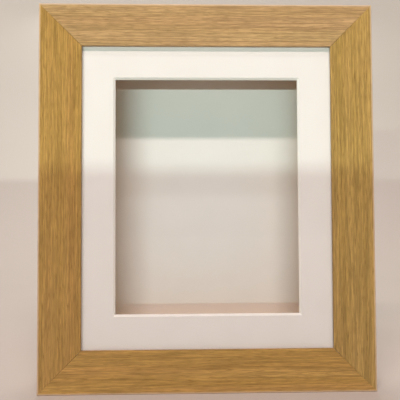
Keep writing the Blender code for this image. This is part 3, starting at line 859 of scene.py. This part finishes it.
def button_mesh():
    """A pressed steel tab: eased edges, a round hole and a raised rib along the blade."""
    angles = []
    for i in range(48):
        angles.append(math.tau * i / 48)
    extra = [math.radians(d) for d in (1.2, 2.6, 4.2, 6.0, 8.2, 9.6, 10.6, 11.4, 12.2, 13.4, 18, 26)]
    for d in extra:
        angles += [d, math.tau - d]
    angles = sorted(set(round(a, 6) for a in angles))
    hole = SCREW_R + GAP
    half = BUTTON_T / 2
    e = 0.00022

    def rib(x, y):
        start, end = 0.0080, 0.0172
        nearest = min(max(x, start), end)
        d = math.hypot(x - nearest, y)
        t = min(1.0, d / 0.0019)
        return 0.00026 * (1 - t * t * (3 - 2 * t))

    def ring(kind, inset, z, top):
        verts = []
        for a in angles:
            if kind == "out":
                r = button_radius(a) - inset
            elif kind == "hole":
                r = hole + inset
            else:
                r = hole + 0.0004 + (button_radius(a) - 0.0007 - hole) * inset
            x, y = r * math.cos(a), r * math.sin(a)
            lift = rib(x, y)
            verts.append(bm.verts.new((x, y, z + lift)))
        return verts

    bm = bmesh.new()
    rings = [ring("hole", 0.0, -half + e, 0), ring("hole", e, -half, 0)]
    rings += [ring("mid", t / 9, -half, 0) for t in range(1, 9)]
    rings += [ring("out", e, -half, 0), ring("out", e * 0.3, -half + e * 0.3, 0), ring("out", 0.0, -half + e, 0)]
    rings += [ring("out", 0.0, half - e, 1), ring("out", e * 0.3, half - e * 0.3, 1), ring("out", e, half, 1)]
    rings += [ring("mid", t / 9, half, 1) for t in range(8, 0, -1)]
    rings += [ring("hole", e, half, 1), ring("hole", 0.0, half - e, 1)]
    rings.append(rings[0])
    n = len(angles)
    for a, b in zip(rings, rings[1:]):
        for i in range(n):
            j = (i + 1) % n
            bm.faces.new((a[i], a[j], b[j], b[i]))
    bmesh.ops.recalc_face_normals(bm, faces=bm.faces)
    mesh = bpy.data.meshes.new("turn_button")
    bm.to_mesh(mesh)
    bm.free()
    mesh.materials.append(ZINC)
    mesh.shade_smooth()
    mesh.set_sharp_from_angle(angle=math.radians(50))
    return mesh


BUTTON = button_mesh()
for joint in frame["joints"]:
    name = joint["name"]
    if not name.startswith("button_"):
        continue
    label = name[len("button_"):-len("_turn")]
    node = f"turn_button_{label}"
    side = label.split("_")[0]
    wx, wz = OPEN_WAY[side]
    blade = Vector((wx, 0, wz))
    lo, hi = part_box(node)
    screw_lo, screw_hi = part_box(f"button_screw_{label}")
    pivot = (screw_lo + screw_hi) / 2
    obj = bpy.data.objects.new(f"pressed_button_{label}", BUTTON)
    REST.objects.link(obj)
    obj.matrix_world = basis(blade, REARWARD.cross(blade), REARWARD, (pivot.x, (lo.y + hi.y) / 2, pivot.z))
    piece(obj, node, f"button_{label}")


# ------------------------------------------------------------------ strap hangers and D-rings
STRAP_T, STRAP_W, STRAP_LEN = 0.0010, 0.0130, 0.0360
EYE_IN_R, EYE_OUT_R = 0.0015, 0.0025
STRAP_HOLES = (0.0100, 0.0270)
RING_WIRE_R, RING_HALF_W, RING_DROP = 0.0012, 0.0106, 0.0170


def strap_section():
    """Side view: (height above the ring's bar, distance off the rail's rear face)."""
    profile = arc(0, EYE_OUT_R, EYE_OUT_R, -90, 205, 40)
    profile += arc(0, EYE_OUT_R, EYE_IN_R, 205, -90, 36)
    profile += [(-STRAP_LEN, STRAP_T), (-STRAP_LEN, 0.0)]
    return profile


def strap_hanger(side):
    node = f"hanger_strap_{side}"
    lo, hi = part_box(node)
    cx = (lo.x + hi.x) / 2
    bar_z = lo.z + STRAP_LEN
    place = basis(Vector((0, 0, 1)), REARWARD, Vector((-1, 0, 0)), (cx, lo.y, bar_z))
    obj = prism(f"steel_strap_{side}", strap_section(), -STRAP_W / 2, STRAP_W / 2, place, [ZINC])
    # round the free end's corners
    bm = bmesh.new()
    bm.from_mesh(obj.data)
    ends = [
        e
        for e in bm.edges
        if all(v.co.z < lo.z + 1e-5 for v in e.verts) and abs(e.verts[0].co.x - e.verts[1].co.x) < 1e-6
        and abs(e.verts[0].co.y - e.verts[1].co.y) > STRAP_T / 2
    ]
    bmesh.ops.bevel(bm, geom=ends, offset=0.0050, segments=12, profile=0.5, affect="EDGES", offset_type="OFFSET")
    bm.to_mesh(obj.data)
    bm.free()
    holes = []
    for drop in STRAP_HOLES:
        holes.append(prism("hole", arc(0, 0, SCREW_R + GAP, 0, 360 - 360 / 28, 27), -0.002, 0.002, basis(Vector((1, 0, 0)), Vector((0, 0, -1)), REARWARD, (cx, lo.y + STRAP_T / 2, bar_z - drop))))
    difference(obj, holes)
    modifier = obj.modifiers.new("ease", "BEVEL")
    modifier.width, modifier.segments, modifier.limit_method, modifier.angle_limit = 0.00016, 2, "ANGLE", math.radians(50)
    settle(obj, 40.0)
    return piece(obj, node, "frame")


def ring_path():
    """The D's centre line in its own plane: the straight bar on top, the bow hanging below it."""
    w, corner = RING_HALF_W, 0.0030
    points = arc(-w + corner, -corner, corner, 180, 90, 10)
    points += arc(w - corner, -corner, corner, 90, 0, 10)
    bow = RING_DROP - corner
    for i in range(1, 40):
        a = math.pi * i / 40
        points.append((w * math.cos(a), -corner - bow * math.sin(a)))
    return points


def d_ring(side):
    node = f"hanger_ring_{side}"
    lo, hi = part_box(node)
    at = Vector(((lo.x + hi.x) / 2, (lo.y + hi.y) / 2, hi.z - RING_WIRE_R))
    path = [Vector((x, 0, z)) for x, z in ring_path()]
    n, around = len(path), 16
    bm = bmesh.new()
    rings = []
    for i, p in enumerate(path):
        tangent = (path[(i + 1) % n] - path[i - 1]).normalized()
        normal = tangent.cross(Vector((0, 1, 0))).normalized()
        rings.append(
            [
                bm.verts.new(at + p + (normal * math.cos(math.tau * k / around) + Vector((0, 1, 0)) * math.sin(math.tau * k / around)) * RING_WIRE_R)
                for k in range(around)
            ]
        )
    for i in range(n):
        a, b = rings[i], rings[(i + 1) % n]
        for k in range(around):
            m = (k + 1) % around
            bm.faces.new((a[k], a[m], b[m], b[k]))
    obj = new_object(f"wire_ring_{side}", bm, [ZINC], 60.0)
    return piece(obj, node, f"ring_{side}")


for side in ("left", "right"):
    strap_hanger(side)
    d_ring(side)


# ------------------------------------------------------------------ wall bumpers
def bumper_mesh():
    """A moulded rubber pad about Z: a seam low on its side, a rounded rim and a shallow dished face."""
    lo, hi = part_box("bumper_top_left")
    r, t = (hi.x - lo.x) / 2, hi.y - lo.y
    profile = [(0.0, 0.0), (r - 0.0003, 0.0), (r, 0.0003), (r, 0.0012), (r - 0.00012, 0.0013), (r - 0.00012, 0.0016), (r, 0.0017)]
    profile += [(r - 0.0014 + 0.0014 * math.cos(math.radians(a)), t - 0.0014 + 0.0014 * math.sin(math.radians(a))) for a in range(0, 91, 10)]
    profile += [(r * 0.70, t), (r * 0.62, t - 0.00012), (r * 0.50, t - 0.00028), (r * 0.25, t - 0.00036), (0.0, t - 0.00038)]
    bm = lathe(profile, 56)
    bmesh.ops.recalc_face_normals(bm, faces=bm.faces)
    mesh = bpy.data.meshes.new("rubber_bumper")
    bm.to_mesh(mesh)
    bm.free()
    mesh.materials.append(RUBBER)
    mesh.shade_smooth()
    mesh.set_sharp_from_angle(angle=math.radians(50))
    return mesh


BUMPER = bumper_mesh()
for corner in CORNERS:
    node = f"bumper_{corner}"
    lo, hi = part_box(node)
    c = (lo + hi) / 2
    obj = bpy.data.objects.new(f"rubber_{node}", BUMPER)
    REST.objects.link(obj)
    obj.matrix_world = basis(Vector((1, 0, 0)), Vector((0, 0, -1)), REARWARD, (c.x, lo.y, c.z))
    piece(obj, node, "frame")


# ------------------------------------------------------------------ floor and backdrop
def studio():
    """A pale floor that sweeps up into a pale backdrop behind the box."""
    front, start, radius, top = FACE_Y - 3.3, 0.75, 0.70, 4.0
    section = [(front, 0.0), (start, 0.0)]
    section += [(start + radius * math.sin(math.radians(a)), radius - radius * math.cos(math.radians(a))) for a in range(6, 91, 6)]
    section += [(start + radius, top)]
    bm = bmesh.new()
    sides = [[bm.verts.new((x, y, z - 0.0001)) for y, z in section] for x in (-6.0, 6.0)]
    for i in range(len(section) - 1):
        bm.faces.new((sides[0][i], sides[1][i], sides[1][i + 1], sides[0][i + 1]))
    s = Shade("studio_paper")
    at = s.coords()
    cloud = s.noise(s.scaled(at, (1.5, 1.5, 1.5)), detail=2.0)
    colour = s.mix(s.range(cloud, 0.3, 0.7), (0.64, 0.615, 0.575), (0.62, 0.597, 0.557))
    paper_sheet = s.finish(s.principled(colour, s.range(cloud, 0.3, 0.7, 0.85, 0.95), **{"Specular IOR Level": 0.1}))
    obj = new_object("studio_sweep", bm, [paper_sheet], 60.0)


studio()


# ------------------------------------------------------------------ light
def lamp(name, x0, x1, y, z, tilt, height, colour, watts):
    """A long soft lamp along X. Tilt 90 shines along +Y and 0 straight down."""
    data = bpy.data.lights.new(name, "AREA")
    data.shape = "RECTANGLE"
    data.size, data.size_y = x1 - x0, height
    data.color, data.energy = colour, watts
    obj = bpy.data.objects.new(name, data)
    obj.location = ((x0 + x1) / 2, y, z)
    obj.rotation_euler = (math.radians(tilt), 0, 0)
    obj.visible_camera = False
    obj.visible_glossy = False
    REST.objects.link(obj)
    return obj


# name, ends in x, y, z, tilt, height, colour, watts
LAMPS = [
    ("front_left", -4.00, -0.09, FACE_Y - 6.0, -0.1761, 92, 0.015, (0.856, 1.0, 0.905), 126.0),
    ("front_right", -0.09, 1.50, FACE_Y - 6.0, -0.1761, 92, 0.015, (0.809, 1.0, 0.892), 15.6),
    ("fill_left", -2.42, -0.06, FACE_Y - 3.6, 0.012, 90, 0.05, (0.726, 1.0, 0.985), 19.9),
    ("fill_right", -0.06, 0.95, FACE_Y - 3.6, 0.012, 90, 0.05, (0.781, 1.0, 0.925), 6.5),
    ("high_left", -2.38, -0.06, FACE_Y - 3.55, 3.759, 45, 0.28, (1.0, 0.778, 0.735), 112.5),
    ("high_right", -0.06, 1.42, FACE_Y - 3.55, 3.759, 45, 0.28, (1.0, 0.770, 0.705), 77.0),
    ("top", -0.56, 0.33, FACE_Y - 0.80, 2.033, 25, 0.06, (1.0, 1.0, 1.0), 7.2),
    ("rear", -0.60, 0.60, FACE_Y + 1.30, 1.20, -48, 0.60, (1.0, 0.97, 0.93), 9.0),
]
for row in LAMPS:
    lamp(*row)

# a pale room where the camera looks past the floor, and a dimmer one for the light it gives
world = bpy.data.worlds.new("soft_room")
bpy.context.scene.world = world
world.use_nodes = True
room = world.node_tree
ground = room.nodes["Background"]
ground.inputs["Color"].default_value = (1.0, 0.70, 0.50, 1.0)
ground.inputs["Strength"].default_value = 0.03
seen = room.nodes.new("ShaderNodeBackground")
seen.inputs["Color"].default_value = (0.74, 0.73, 0.71, 1.0)
rays = room.nodes.new("ShaderNodeLightPath")
either = room.nodes.new("ShaderNodeMixShader")
room.links.new(rays.outputs["Is Camera Ray"], either.inputs[0])
room.links.new(ground.outputs[0], either.inputs[1])
room.links.new(seen.outputs[0], either.inputs[2])
room.links.new(either.outputs[0], room.nodes["World Output"].inputs["Surface"])

# ------------------------------------------------------------------ camera, at the photograph's place
PIXELS, FOCAL = 400, 480.0
pitch, roll, yaw = (math.radians(a) for a in (-1.793, -0.213, 1.321))
turn = Matrix.Rotation(yaw, 3, "Z") @ Matrix.Rotation(roll, 3, "Y") @ Matrix.Rotation(pitch, 3, "X")
lens = bpy.data.cameras.new("camera")
lens.sensor_width = 36.0
lens.lens = 36.0 * FOCAL / PIXELS
lens.clip_start, lens.clip_end = 0.01, 50.0
camera = bpy.data.objects.new("camera", lens)
right, forward, up = Vector(turn[0]), Vector(turn[1]), Vector(turn[2])
camera.matrix_world = basis(right, up, -forward, (-0.01771, FACE_Y - 0.46025, MID_Z - 0.01780))
REST.objects.link(camera)
bpy.context.scene.camera = camera

bpy.context.scene.view_settings.view_transform = "Standard"
bpy.context.scene.view_settings.look = "None"
